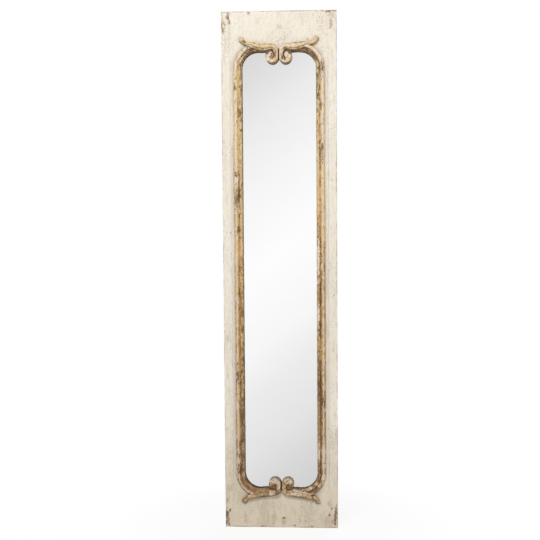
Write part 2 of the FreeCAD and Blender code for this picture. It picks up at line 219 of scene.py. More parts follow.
scroll_pits = [
    (-112, 742, 10, 6), (-54, 712, 12, 6), (-18, 700, 10, 8), (16, 690, 10, 8), (60, 738, 20, 5),
    (-70, -735, 16, 6), (-30, -705, 12, 8), (24, -700, 12, 8), (96, -744, 14, 8), (111, -748, 8, 6),
    (-14, -724, 8, 8), (44, -740, 10, 5),
]
panel_chips = [
    (-163, 824, 6, 17), (-160, 806, 5, 9), (-176, 802, 6, 8), (-178, 783, 6, 10), (-182, 800, 3, 30),
    (-98, 836, 6, 6), (158, 836, 10, 5), (177, 837, 8, 4), (166, 795, 4, 17), (140, 839, 8, 2),
    (-180, -806, 6, 30), (-176, -826, 7, 14), (-170, -785, 4, 8), (-178, -750, 3, 8),
    (179, -790, 5, 34), (175, -812, 6, 20), (158, -797, 4, 7), (166, -775, 3, 9), (168, -818, 4, 8),
    (8, -809, 7, 4), (40, -832, 6, 4), (-60, -836, 9, 3), (100, -836, 10, 3),
    (-136, 703, 3.5, 10), (-139, 696, 2.5, 7), (84, 748, 3, 2.5), (93, 749, 3.5, 2.5),
    (-156, 66, 3, 8), (175, -72, 2.5, 2.5), (-170, 540, 2.5, 4), (-160, 130, 2, 4), (168, 300, 2, 3),
]
panel_stains = [
    (-172, -710, 9, 12), (-118, -806, 5, 18), (-25, -808, 7, 24), (7, -818, 7, 14), (-45, -800, 3, 20),
    (160, -757, 9, 12), (171, -820, 10, 9), (178, -465, 4, 14), (150, -815, 9, 16), (60, -818, 3, 14),
    (170, 825, 8, 9), (-67, 810, 6, 13), (2, 792, 9, 12), (76, 805, 3, 18), (172, 795, 5, 16),
    (30, 806, 3, 8), (-176, 690, 4, 22), (176, 560, 4, 20), (-172, 240, 4, 18), (173, -240, 4, 20),
    (-174, -330, 4, 26),
]

# Floor and room: how far the floor goes, where it fades into white and how white it is before that, and the
# greys of the room that the glass shows, along a slanting line from its upper left to its lower right

floor_reach, floor_fade, floor_white = 9.0, (0.86, 1.05), 0.88
room_light, room_slant, room_span = 0.33, 0.795, (-0.25, 0.30)
room_start_grey, room_end_grey = 0.62, 0.55
room_greys = (
    (0.136, 0.755), (0.209, 0.85), (0.327, 0.94), (0.4545, 1.0), (0.496, 0.99),
    (0.595, 0.94), (0.664, 0.855), (0.765, 0.785), (0.833, 0.70),
)

# Lamps: name, place, aim, size and watts

lamps = (
    ("key", (-0.7, -2.9, 2.0), (0, 0, 0), (1.1, 0.9), 72),
    ("rear_fill", (1.2, 2.8, 1.8), (0, 0, 0), (1.6, 1.6), 48),
    ("right_fill", (1.9, -2.4, 0.2), (0, 0, -0.1), (1.2, 1.6), 14),
)

# Camera: place, turns in degrees, and its focal length in the photograph's pixels

camera_place = (0.2075, -3.5186, 0.2363)
camera_yaw, camera_pitch, camera_roll = 3.934, -3.695, -0.392
photo_pixels, focal_pixels, sensor_width = 540, 1081.2, 36.0


# Meshes


def new_object(name, data):
    made = bpy.data.objects.new(name, data)
    bpy.context.scene.collection.objects.link(made)
    return made


def set_mark(piece, name, values):
    """Keeps a value for each point of a piece, which its finish reads."""
    layer = piece.data.attributes.get(name) or piece.data.attributes.new(name, "FLOAT", "POINT")
    layer.data.foreach_set("value", np.asarray(values, np.float32))


def solid_piece(name, points, faces, marks=None, smooth=True):
    """A mesh object in the mirror's frame, with its marks."""
    mesh = bpy.data.meshes.new(name)
    mesh.from_pydata([tuple(p) for p in points], [], [tuple(f) for f in faces])
    mesh.polygons.foreach_set("use_smooth", [smooth] * len(mesh.polygons))
    piece = new_object(name, mesh)
    for mark, values in (marks or {}).items():
        set_mark(piece, mark, values)
    mesh.update()
    return piece


def points_of(piece):
    values = np.zeros(len(piece.data.vertices) * 3)
    piece.data.vertices.foreach_get("co", values)
    return values.reshape(-1, 3)


def made_mesh(piece):
    """The plain mesh that a piece's modifiers make of it."""
    bpy.context.view_layer.update()
    return bpy.data.meshes.new_from_object(piece.evaluated_get(bpy.context.evaluated_depsgraph_get()))


def hand_noise(points, scale, seed):
    """Smooth unevenness, about -1 to 1, over points in metres. scale is in lumps to a metre."""
    shift = Vector((seed * 7.31, seed * 3.17, seed * 5.77))
    return np.array([noise.noise(Vector(p) * scale + shift) for p in points])


def spots_on(points, spots, seed):
    """How far each point lies inside any of the worn places, with ragged edges."""
    value = np.zeros(len(points))
    wobble = 0.45 * hand_noise(points, 160, seed) + 0.3 * hand_noise(points, 420, seed + 1)
    for x, z, across, tall in spots:
        dx = (points[:, 0] / MM - x) / across
        dz = (points[:, 2] / MM - z) / tall
        value = np.maximum(value, np.clip(1.5 - np.sqrt(dx ** 2 + dz ** 2) + wobble, 0, 1))
    return value


def edge_lines(low, high, radius, cell):
    """Grid lines over one side of a board, close together at its rounded edges."""
    count = max(2, round((high - low - 2 * radius) / cell))
    middle = np.linspace(low + radius, high - radius, count + 1)
    step = radius * np.array(edge_steps)
    return np.concatenate([low + step, middle, (high - step)[::-1]])


def box_skin(lines):
    """Points and faces of a closed box skin on three sets of grid lines."""
    counts = [len(line) for line in lines]
    grid = np.arange(math.prod(counts)).reshape(counts)
    quads = []
    for axis in range(3):
        layers = np.moveaxis(grid, (axis, (axis + 1) % 3, (axis + 2) % 3), (0, 1, 2))
        for end in (0, -1):
            skin = layers[end]
            corners = (skin[:-1, :-1], skin[1:, :-1], skin[1:, 1:], skin[:-1, 1:])
            quad = np.stack(corners, -1).reshape(-1, 4)
            quads.append(quad if end else quad[:, ::-1])
    used, faces = np.unique(np.concatenate(quads), return_inverse=True)
    places = np.unravel_index(used, counts)
    return np.stack([line[place] for line, place in zip(lines, places)], 1), faces.reshape(-1, 4)


def worn_board(name, low, high, seed, radius, cell, dent, chips=(), stains=(), joint=0.2):
    """A board with hand-planed, rubbed and dented edges. joint is the share of that wear at its joints."""
    low, high = np.array(low), np.array(high)
    radius *= MM
    points, faces = box_skin([edge_lines(low[a], high[a], radius, cell[a] * MM) for a in range(3)])
    rub, bruise = hand_noise(points, 14, seed), hand_noise(points, 70, seed + 2)
    from_edge = np.sort(np.minimum(points - low, high - points), axis=1)[:, 1]
    rim = np.minimum(half_width - np.abs(points[:, 0]), half_height - np.abs(points[:, 2]))
    free = np.where(rim < rim_reach, 1.0, joint)
    near = np.exp(-from_edge / wear_reach)
    rounding = (radius * free * np.clip(0.75 + 0.45 * rub + 0.35 * bruise, 0.25, 1.0))[:, None]
    hit = (np.clip(bruise - 0.25, 0, 1) * near * free * dent * MM)[:, None]
    core = np.clip(points, low + rounding, high - rounding)
    out = points - core
    out /= np.maximum(np.linalg.norm(out, axis=1)[:, None], 1e-9)
    points = core + out * rounding - out * hit
    chip = spots_on(points, chips, seed + 4)
    ahead = points[:, 1] < front + chip_skin
    points[:, 1] += np.where(ahead, chip_sink * chip, 0)
    crown = 0.45 * (half_height - points[:, 2] < crown_reach)
    worn = free * near * np.clip(0.6 + crown + 0.9 * rub + 0.5 * bruise, 0, 1.2)
    stain = spots_on(points, stains, seed + 6)
    return solid_piece(name, points, faces, {"worn": worn, "chip": chip * ahead, "stain": stain * ahead})


def oval(x, z, across, tall, up, sides):
    """A ring of points (x, z, up)."""
    turns = [2 * math.pi * side / sides for side in range(sides)]
    return [(x + across * math.cos(turn), z + tall * math.sin(turn), up) for turn in turns]


def tube_faces(rows, columns):
    """Faces of a tube with both its ends, its points laid out ring by ring."""
    faces = []
    for r in range(rows - 1):
        for c in range(columns):
            d = (c + 1) % columns
            faces.append((r * columns + c, r * columns + d, (r + 1) * columns + d, (r + 1) * columns + c))
    return faces + [tuple(range(columns))[::-1], tuple(range((rows - 1) * columns, rows * columns))]


def joined(shapes):
    """Points and faces of several shapes as one."""
    points, faces = [], []
    for shape_points, shape_faces in shapes:
        faces += [tuple(len(points) + i for i in face) for face in shape_faces]
        points += list(shape_points)
    return np.array(points), faces


def face_out(piece):
    """Merges doubles and turns every face of a closed mesh outwards."""
    shape = bmesh.new()
    shape.from_mesh(piece.data)
    bmesh.ops.remove_doubles(shape, verts=shape.verts, dist=1e-6)
    bmesh.ops.recalc_face_normals(shape, faces=shape.faces)
    shape.to_mesh(piece.data)
    shape.free()
    return piece


# Finishes

CREAM = (0.825, 0.768, 0.67)
CREAM_BRIGHT = (0.91, 0.855, 0.755)
CREAM_WARM = (0.785, 0.71, 0.592)
CREAM_GREY = (0.60, 0.55, 0.455)
CREAM_TAN = (0.61, 0.475, 0.30)
PAINT_SMEAR = (0.45, 0.36, 0.245)
PAINT_SCUFF = (0.52, 0.475, 0.39)
PAINT_SPECK = (0.27, 0.225, 0.165)
PAINT_STAIN = (0.44, 0.365, 0.25)
CHIP_HALO = (0.62, 0.49, 0.36)
WOOD_CHIP = (0.47, 0.27, 0.13)
WOOD_DARK = (0.21, 0.115, 0.06)
WOOD_DARKER_LOW = (0.13, 0.075, 0.045)
REBATE_SHADE_BLACK = (0.10, 0.065, 0.04)
WOOD_SAWN, WOOD_SAWN_DARK = (0.62, 0.45, 0.27), (0.50, 0.33, 0.18)
GOLD = (0.62, 0.375, 0.13)
GOLD_PALE = (0.83, 0.575, 0.26)
GOLD_BRIGHT = (0.95, 0.765, 0.455)
GOLD_AGED_AND_SHADE = (0.66, 0.46, 0.205)
GOLD_DULL = (0.40, 0.265, 0.15)
GOLD_RUBBED_AND_HIGHLIGHT = (0.91, 0.77, 0.53)
GOLD_BROWN = (0.27, 0.14, 0.062)
GESSO = (0.74, 0.60, 0.46)
GESSO_PALE = (0.78, 0.67, 0.52)
GESSO_DULL = (0.56, 0.42, 0.27)
GESSO_CRUMB = (0.87, 0.75, 0.58)
UMBER = (0.075, 0.042, 0.02)
RECESS_SHADE_BLACK = (0.035, 0.02, 0.01)
COVE_DULL = (0.56, 0.46, 0.33)
COVE_SCUFF = (0.66, 0.575, 0.49)
COVE_GRIME_AND_SHADE = (0.47, 0.415, 0.335)
COVE_SPECK = (0.22, 0.17, 0.115)
FLOOR_GREY = (0.9, 0.9, 0.9)
WHITE = (1, 1, 1)

# Within these distances from the middle, a board's edges are those of the glass's opening: bare, and painted
# near-black as the shade in the opening

rebate_x, rebate_z = (0.165, 0.16), (0.78, 0.77)


class Nodes:
    """A node tree, written step by step."""

    def __init__(self, tree):
        self.tree = tree

    def node(self, kind, inputs=(), **settings):
        """A new node with its settings made and its inputs, by name or number, set or linked."""
        node = self.tree.nodes.new(kind)
        for name, value in settings.items():
            setattr(node, name, value)
        for key, value in dict(inputs).items():
            socket = node.inputs[key]
            if isinstance(value, bpy.types.NodeSocket):
                self.tree.links.new(value, socket)
            elif socket.type == "RGBA":
                socket.default_value = (*value, 1.0)
            else:
                socket.default_value = value
        return node

    def step(self, kind, output, inputs=(), **settings):
        """One output of a new node."""
        return self.node(kind, inputs, **settings).outputs[output]

    def math(self, kind, a, b=0.0):
        return self.step("ShaderNodeMath", 0, {0: a, 1: b}, operation=kind)

    def times(self, a, b):
        return self.math("MULTIPLY", a, b)

    def plus(self, value, *shares):
        """A value and shares of others, given as other, share, other, share."""
        for other, share in zip(shares[::2], shares[1::2]):
            value = self.math("ADD", value, self.times(other, share))
        return value

    def between(self, value, low, high):
        """0 below low, 1 above high, and smooth between them."""
        limits = {"Value": value, "From Min": low, "From Max": high}
        return self.step("ShaderNodeMapRange", "Result", limits, interpolation_type="SMOOTHSTEP")


class Finish(Nodes):
    """One procedural finish: nodes that end in a Principled shader."""

    def __init__(self, name, roughness, metallic=0.0):
        self.material = bpy.data.materials.new(name)
        self.material.use_nodes = True
        super().__init__(self.material.node_tree)
        self.shader = self.tree.nodes["Principled BSDF"]
        self.shader.inputs["Roughness"].default_value = roughness
        self.shader.inputs["Metallic"].default_value = metallic
        self.place = self.step("ShaderNodeTexCoord", "Object")

    def noise(self, scale, stretch=(1, 1, 1), detail=3.0, rough=0.55, twist=0.0, shift=0.0):
        """Fractal unevenness, with lumps to a metre and a stretch for each direction."""
        moved = {"Vector": self.place, "Scale": stretch, "Location": (shift, shift * 0.7, shift * 0.3)}
        place = self.step("ShaderNodeMapping", "Vector", moved)
        look = {"Vector": place, "Scale": scale, "Detail": detail, "Roughness": rough, "Distortion": twist}
        return self.step("ShaderNodeTexNoise", "Fac", look)

    def mark(self, name):
        """A value kept on the piece's own points."""
        return self.step("ShaderNodeAttribute", "Fac", attribute_name=name)

    def along(self, axis):
        """Place along an axis of the mirror."""
        return self.step("ShaderNodeSeparateXYZ", axis, {0: self.place})

    def facing(self, axis):
        """How far the surface faces along an axis of the mirror."""
        return self.step("ShaderNodeSeparateXYZ", axis, {0: self.step("ShaderNodeNewGeometry", "Normal")})

    def size(self, value):
        return self.math("ABSOLUTE", value)

    def swing(self, value):
        """Unevenness about its middle."""
        return self.math("ADD", value, -0.5)

    def rest(self, share):
        return self.math("SUBTRACT", 1.0, share)

    def most(self, a, b):
        return self.math("MAXIMUM", a, b)

    def mix(self, share, a, b):
        return self.step("ShaderNodeMix", 2, {"Factor": share, 6: a, 7: b}, data_type="RGBA")

    def laid(self, under, *layers):
        """Colours laid one over another: (share, colour, strength) of each."""
        for share, colour, strength in layers:
            under = self.mix(self.times(share, strength), under, colour)
        return under

    def shade(self, name, value):
        self.tree.links.new(value, self.shader.inputs[name])

    def roughness(self, value, low, high):
        limits = {"Value": value, "To Min": low, "To Max": high}
        self.shade("Roughness", self.step("ShaderNodeMapRange", "Result", limits))

    def bump(self, height, depth, strength=1.0):
        """Fine relief of that depth in metres."""
        relief = {"Height": height, "Distance": depth, "Strength": strength}
        self.shade("Normal", self.step("ShaderNodeBump", "Normal", relief))


def cream_paint():
    """Brushed cream paint, greyed by handling and rubbed down to brown wood, on boards sawn at the back."""
    f = Finish("cream_paint", 0.55)
    cloud = f.noise(5, (1, 1, 0.6), 4)
    streak = f.noise(60, (1.6, 1.6, 0.08), 5)
    mottle = f.noise(105, (1.2, 1.2, 0.55), 6, 0.72)
    scuff = f.noise(34, (1.6, 1.6, 0.45), 7, 0.75)
    smear = f.noise(24, (1.3, 1.3, 0.5), 6, 0.68, shift=9.0)
    cluster = f.noise(11, (1, 1, 0.6), 3, shift=4.0)
    speck = f.noise(470, (1, 1, 0.7), 3)
    fine = f.noise(900, (1, 1, 0.25), 3)
    grain = f.noise(300, (1, 1, 0.04), 5)
    saw = f.noise(200, (1, 1, 0.03), 5)
    ragged = f.swing(f.noise(230, (1, 1, 0.45), 6, 0.75))
    chipped, height = f.mark("chip"), f.along("Z")
    # low and high make the paint, its marks and the bared wood darker towards the bottom and lighter at the
    # top: in part a painted fall of light from above
    low, high = f.between(height, -0.4, -0.8), f.between(height, 0.1, 0.8)
    stain = f.times(f.between(f.mark("stain"), 0.1, 1.0), f.between(mottle, 0.25, 0.75))
    chip = f.times(f.plus(f.times(chipped, 0.72), ragged, 3.2), f.between(chipped, 0.02, 0.2))
    edge = f.times(f.between(f.plus(f.mark("worn"), ragged, 1.1), 0.15, 0.8), 0.8)
    bare = f.most(f.between(chip, 0.52, 0.66), edge)
    # The edges at the glass's opening are painted near-black, as painted shade
    opening = f.times(f.between(f.size(f.along("X")), *rebate_x), f.between(f.size(height), *rebate_z))
    rebate_shade = f.times(opening, f.between(f.size(f.facing("Y")), 0.6, 0.4))

    paint = f.laid(
        f.mix(f.between(cloud, 0.35, 0.7), CREAM, CREAM_WARM),
        (high, CREAM_BRIGHT, 0.2),
        (low, CREAM_TAN, 0.5),
        (f.times(f.between(smear, 0.46, 0.64), low), PAINT_SMEAR, 0.38),
        (f.between(mottle, 0.46, 0.70), CREAM_GREY, f.plus(0.55, low, 0.25)),
        (f.between(streak, 0.55, 0.75), CREAM_GREY, 0.3),
        (f.between(scuff, 0.55, 0.68), PAINT_SCUFF, 0.5),
        (f.between(f.plus(speck, cluster, 0.45, low, 0.035), 0.85, 0.91), PAINT_SPECK, 0.75),
        (stain, PAINT_STAIN, f.plus(0.5, low, 0.5)),
        (f.between(chip, 0.15, 0.52), CHIP_HALO, 0.6),
    )
    wood = f.laid(f.mix(f.between(grain, 0.35, 0.65), WOOD_DARK, WOOD_CHIP), (low, WOOD_DARKER_LOW, 0.6))
    painted = f.laid(f.mix(bare, paint, wood), (rebate_shade, REBATE_SHADE_BLACK, 0.9))
    sawn = f.mix(f.between(saw, 0.35, 0.65), WOOD_SAWN_DARK, WOOD_SAWN)
    f.shade("Base Color", f.mix(f.between(f.facing("Y"), 0.55, 0.8), painted, sawn))
    f.roughness(f.plus(scuff, bare, 0.4), 0.42, 0.72)
    f.bump(f.plus(f.times(streak, 0.5), fine, 0.2, mottle, 0.5, bare, -0.8), 0.0008, 0.7)
    return f.material


def worn_gilding():
    """Ochre gilding rubbed to gesso and brown ground, with a cream painted cove."""
    f = Finish("worn_gilding", 0.45)
    cloud = f.noise(9, (1, 1, 0.5), 3)
    tone = f.noise(150, (1, 1, 0.6), 5, 0.72)
    flake = f.noise(80, (1, 1, 0.5), 8, 0.74, 0.8)
    smut = f.noise(120, (1, 1, 0.55), 8, 0.76, 0.5, 3.0)
    grit = f.noise(380, (1, 1, 0.7), 3, 0.7)
    crumb = f.noise(230, (1, 1, 0.6), 4, 0.72, 0.4, 11.0)
    fleck = f.noise(170, (1, 1, 0.55), 4, 0.72, 0.4, 7.0)
    fine = f.noise(700, (1, 1, 0.6), 4)
    scuff = f.noise(26, (1.6, 1.6, 0.5), 6, 0.65)
    speck = f.noise(300, (1, 1, 0.6), 3, shift=2.0)
    shade_and_grime, ridge, aged_and_shade, cove_grime_and_shade = f.mark("shade_and_grime"), f.mark("ridge"), f.mark("aged_and_shade"), f.mark("cove_grime_and_shade")
    low, high = f.between(f.along("Z"), 0.2, -0.65), f.between(f.along("Z"), -0.1, 0.6)

    # Gold, brighter towards the top and duller towards the bottom, in part a painted fall of light from above,
    # browner on the scrolls and, as painted shade, on the inner bead towards the top, brown where it is rubbed,
    # pale on the crests as rubbed wear and painted highlight, and gone to gesso with a brown line round each
    # patch
    rubbed = f.plus(smut, low, 0.09, high, -0.05, f.times(aged_and_shade, low), -0.06, shade_and_grime, 0.16, f.swing(cloud), 0.35)
    bare = f.plus(flake, f.mark("patch"), 0.25, ridge, 0.02, f.mark("rim"), 0.05)
    bare = f.plus(bare, f.rest(high), -0.012, shade_and_grime, -0.10)
    gold = f.laid(
        f.mix(f.between(tone, 0.40, 0.60), GOLD, GOLD_PALE),
        (high, GOLD_BRIGHT, 0.8),
        (aged_and_shade, GOLD_AGED_AND_SHADE, 0.7),
        (low, GOLD_DULL, 0.35),
        (f.between(rubbed, 0.51, 0.62), GOLD_BROWN, 0.8),
        (f.between(grit, 0.56, 0.68), GOLD_BROWN, 0.6),
        (f.between(crumb, 0.585, 0.635), GESSO_CRUMB, 0.7),
        (f.between(f.plus(ridge, f.swing(flake), 2.6), 0.35, 1.0), GOLD_RUBBED_AND_HIGHLIGHT, 0.75),
        (f.between(bare, 0.53, 0.56), GOLD_BROWN, 0.6),
    )
    gesso = f.between(bare, 0.555, 0.585)
    bared = f.laid(f.mix(f.between(smut, 0.38, 0.62), GESSO_PALE, GESSO), (low, GESSO_DULL, 0.45))
    gold = f.mix(gesso, gold, bared)

    # Dark in the grooves and pits as grime and painted shade, painted shade on faces turned downwards, and
    # near-black painted shade in the deepest recesses
    dark = f.times(f.between(f.plus(shade_and_grime, f.swing(smut), 1.8), 0.38, 0.95), 0.9)
    dark = f.most(dark, f.times(f.between(f.facing("Z"), -0.25, -0.8), 0.85))
    pitted = f.plus(fleck, cloud, 0.2, f.mark("pits"), 0.16, low, 0.03)
    dark = f.most(dark, f.times(f.between(pitted, 0.71, 0.755), 0.85))
    gilt = f.mix(dark, gold, f.mix(f.between(tone, 0.35, 0.65), UMBER, GOLD_BROWN))
    gilt = f.laid(gilt, (f.between(shade_and_grime, 1.0, 1.6), RECESS_SHADE_BLACK, 0.85))

    # The painted cove, duller towards the bottom, with grime and painted shade at the main bead's foot
    painted = f.between(f.plus(f.mark("cove"), f.swing(smut), 1.1), 0.42, 0.6)
    paint = f.laid(
        f.mix(f.between(cloud, 0.35, 0.7), CREAM, CREAM_WARM),
        (low, COVE_DULL, 0.3),
        (f.between(scuff, 0.44, 0.66), COVE_SCUFF, 0.65),
        (cove_grime_and_shade, COVE_GRIME_AND_SHADE, f.between(smut, 0.2, 0.6)),
        (f.between(f.plus(speck, cove_grime_and_shade, 0.1), 0.68, 0.72), COVE_SPECK, 0.8),
    )
    f.shade("Base Color", f.mix(painted, gilt, paint))
    f.shade("Metallic", f.times(f.times(f.rest(gesso), f.rest(painted)), 0.25))
    f.roughness(f.plus(tone, gesso, 0.3), 0.32, 0.66)
    f.bump(f.plus(f.times(flake, 0.5), fine, 0.2, grit, 0.35, gesso, -0.3), 0.0012, 0.8)
    return f.material


def silvered_glass():
    """Clear mirror with the faintest film of wiping marks."""
    f = Finish("silvered_glass", 0.02, 1.0)
    clear, wiped = (0.985, 0.985, 0.983), (0.972, 0.973, 0.971)
    film = f.noise(3, (1, 1, 2.5), 4)
    f.shade("Base Color", f.mix(f.between(film, 0.3, 0.75), clear, wiped))
    f.roughness(film, 0.0, 0.012)
    return f.material


def felt_tape():
    """Near-black felt."""
    f = Finish("felt_tape", 0.95)
    black, lint = (0.02, 0.019, 0.018), (0.05, 0.048, 0.044)
    fuzz = f.noise(900, detail=5)
    f.shade("Base Color", f.mix(fuzz, black, lint))
    f.bump(fuzz, 0.0008)
    return f.material


def hardboard():
    """Smooth brown pressed board with short fibres."""
    f = Finish("hardboard", 0.55)
    dark, brown = (0.21, 0.115, 0.055), (0.27, 0.155, 0.075)
    pale, fleck = (0.40, 0.26, 0.14), (0.10, 0.05, 0.025)
    cloud = f.noise(4, detail=4)
    fibre = f.noise(420, (1, 1, 0.35), 6, 0.7)
    board = f.laid(
        f.mix(f.between(cloud, 0.3, 0.7), dark, brown),
        (f.between(fibre, 0.5, 0.75), pale, 0.5),
        (f.between(f.noise(700), 0.66, 0.72), fleck, 0.5),
    )
    f.shade("Base Color", board)
    f.roughness(fibre, 0.42, 0.66)
    f.bump(fibre, 0.0003, 0.5)
    return f.material


def bare_pine():
    """Unfinished sawn pine, its grain along the batten."""
    f = Finish("bare_pine", 0.7)
    pale, ring, pore = (0.63, 0.44, 0.25), (0.50, 0.31, 0.15), (0.36, 0.21, 0.10)
    rings = f.noise(95, (0.035, 1, 1), 3, 0.5, 0.6)
    pores = f.noise(700, (0.05, 1, 1), 4)
    saw = f.noise(1200, (1, 1, 0.03), 2)
    wood = f.mix(f.between(rings, 0.38, 0.62), pale, ring)
    f.shade("Base Color", f.laid(wood, (f.between(pores, 0.55, 0.8), pore, 0.4)))
    f.roughness(pores, 0.6, 0.82)
    f.bump(f.plus(pores, saw, 0.5), 0.0004, 0.6)
    return f.material


def plated_steel(name, pale, dull, low, high):
    """Plated steel, clouded and finely brushed, between two roughnesses."""
    f = Finish(name, 0.35, 1.0)
    cloud = f.noise(220, detail=5, rough=0.65)
    brushed = f.noise(1500, (1, 1, 0.15), 3)
    f.shade("Base Color", f.mix(f.between(cloud, 0.35, 0.7), pale, dull))
    f.roughness(f.plus(f.times(cloud, 0.6), brushed, 0.4), low, high)
    f.bump(brushed, 0.00008, 0.4)
    return f.material


finishes = {
    "cream_paint": cream_paint(),
    "worn_gilding": worn_gilding(),
    "silvered_glass": silvered_glass(),
    "felt_tape": felt_tape(),
    "hardboard": hardboard(),
    "bare_pine": bare_pine(),
    "steel_screws": plated_steel("steel_screws", (0.60, 0.59, 0.56), (0.42, 0.41, 0.39), 0.25, 0.5),
    "zinc_plate": plated_steel("zinc_plate", (0.70, 0.70, 0.69), (0.52, 0.53, 0.54), 0.2, 0.45),
}


def finished(piece, slot, body, *nodes):
    """Paints a piece, sets it on its body and lets it stand for its solids."""
    piece.data.materials.clear()
    piece.data.materials.append(finishes[slot])
    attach(piece, body)
    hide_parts(*nodes)
    return piece


# Moulding runs and corners: one section swept along each path


def bead_height(out):
    """Height of the moulding's face above the panel at a distance out from the sight edge, in millimetres."""
    if out <= inner_bead_width:
        share = out / inner_bead_width * 2 - 1
        arch = math.sqrt(max(0.0, 1 - share ** 2))
        return inner_bead_foot + inner_bead_rise * arch + inner_bead_tilt * (share + 1)
    if out <= main_bead_start:
        return groove_height
    if out <= main_bead_end:
        share = (out - main_bead_start) / main_bead_width * 2 - 1
        return groove_height + main_bead_rise * math.sqrt(max(0.0, 1 - share ** 2)) - main_bead_tilt * share
    share = (out - main_bead_end) / (moulding_width - main_bead_end)
    return cove_edge_height + cove_rise * (1 - share) ** 2


def bead_outs(start, width):
    """Distances across a bead, closer together at its edges."""
    return list(start + width / 2 * (1 - np.cos(np.linspace(0, math.pi, bead_points))))


def section_outline():
    """The moulding's closed section as (out, up) points, finer where it bends."""
    outs = [0.0, *bead_outs(0.0, inner_bead_width)]
    outs += [inner_bead_width + groove_inset, main_bead_start - groove_inset]
    outs += bead_outs(main_bead_start, main_bead_width)
    outs += list(np.linspace(main_bead_end + cove_inset, moulding_width, cove_points))
    face = [(out, bead_height(out)) for out in outs]
    return [(0.0, 0.0)] + face + [(moulding_width, 0.0), (moulding_width / 2, 0.0)]


def outline_curve(name, points, closed):
    """A poly curve through points, in metres."""
    curve = bpy.data.curves.new(name, "CURVE")
    curve.dimensions = "3D"
    spline = curve.splines.new("POLY")
    spline.points.add(len(points) - 1)
    for target, point in zip(spline.points, points):
        target.co = (*point, 1)
    spline.use_cyclic_u = closed
    return new_object(name, curve)


def moulding_tree():
    """Sweeps a section along a path and gives its surface the unevenness of hand carving."""
    tree = bpy.data.node_groups.new("moulding_sweep", "GeometryNodeTree")
    kinds = {
        "Geometry": "Geometry", "Section": "Object", "Station length": "Float", "Carving depth": "Float",
        "Chip depth": "Float", "Seed": "Float", "Finish": "Material",
    }
    for name, kind in kinds.items():
        tree.interface.new_socket(name, in_out="INPUT", socket_type=f"NodeSocket{kind}")
    tree.interface.new_socket("Geometry", in_out="OUTPUT", socket_type="NodeSocketGeometry")
    t = Nodes(tree)
    given = t.node("NodeGroupInput").outputs

    def lumps(scale, detail):
        look = {"Scale": scale, "Detail": detail, "W": given["Seed"]}
        return t.step("ShaderNodeTexNoise", "Fac", look, noise_dimensions="4D")

    stations = {"Curve": given["Geometry"], "Length": given["Station length"]}
    path = t.step("GeometryNodeResampleCurve", "Curve", stations, mode="LENGTH")
    path = t.step("GeometryNodeSetCurveNormal", "Curve", {"Curve": path, "Normal": (0, -1, 0)}, mode="FREE")
    profile = t.step("GeometryNodeObjectInfo", "Geometry", {"Object": given["Section"]})
    swept = {"Curve": path, "Profile Curve": profile, "Fill Caps": True}
    bar = t.step("GeometryNodeCurveToMesh", "Mesh", swept)
    uneven = t.plus(lumps(32.0, 2.0), lumps(150.0, 3.0), 0.75)
    carved = t.times(t.math("SUBTRACT", uneven, 0.875), given["Carving depth"])
    chip = t.between(lumps(48.0, 5.0), 0.6, 0.72)
    out = t.math("SUBTRACT", carved, t.times(chip, given["Chip depth"]))
    normal = t.step("GeometryNodeInputNormal", "Normal")
    push = t.step("ShaderNodeVectorMath", "Vector", {0: normal, "Scale": out}, operation="SCALE")
    kept = {"Geometry": bar, "Name": "patch", "Value": chip}
    bar = t.step("GeometryNodeStoreNamedAttribute", "Geometry", kept, data_type="FLOAT", domain="POINT")
    bar = t.step("GeometryNodeSetPosition", "Geometry", {"Geometry": bar, "Offset": push})
    bar = t.step("GeometryNodeSetShadeSmooth", "Geometry", {"Geometry": bar})
    bar = t.step("GeometryNodeRealizeInstances", "Geometry", {"Geometry": bar})
    bar = t.step("GeometryNodeSetMaterial", "Geometry", {"Geometry": bar, "Material": given["Finish"]})
    t.node("NodeGroupOutput", {"Geometry": bar})
    return tree


def moulding(name, path, station, seed):
    """A length of carved moulding along a path."""
    source = outline_curve(f"{name}_path", path, False)
    modifier = source.modifiers.new("made", "NODES")
    modifier.node_group = sweep_tree
    inputs = {
        "Section": section, "Station length": station, "Carving depth": carving_depth,
        "Chip depth": chip_depth, "Seed": seed, "Finish": finishes["worn_gilding"],
    }
    for item in sweep_tree.interface.items_tree:
        if item.in_out == "INPUT" and item.name in inputs:
            modifier[item.identifier] = inputs[item.name]
    mesh = made_mesh(source)
    mesh.name = name
    bpy.data.objects.remove(source)
    return new_object(name, mesh)


def out_from_sight(points):
    """Distance of points from the rounded sight edge, outwards, in millimetres."""
    beyond = np.maximum(np.abs(points[:, [0, 2]]) - np.array([arc_x, arc_z]), 0)
    return (np.hypot(beyond[:, 0], beyond[:, 1]) - sight_corner_radius) / MM


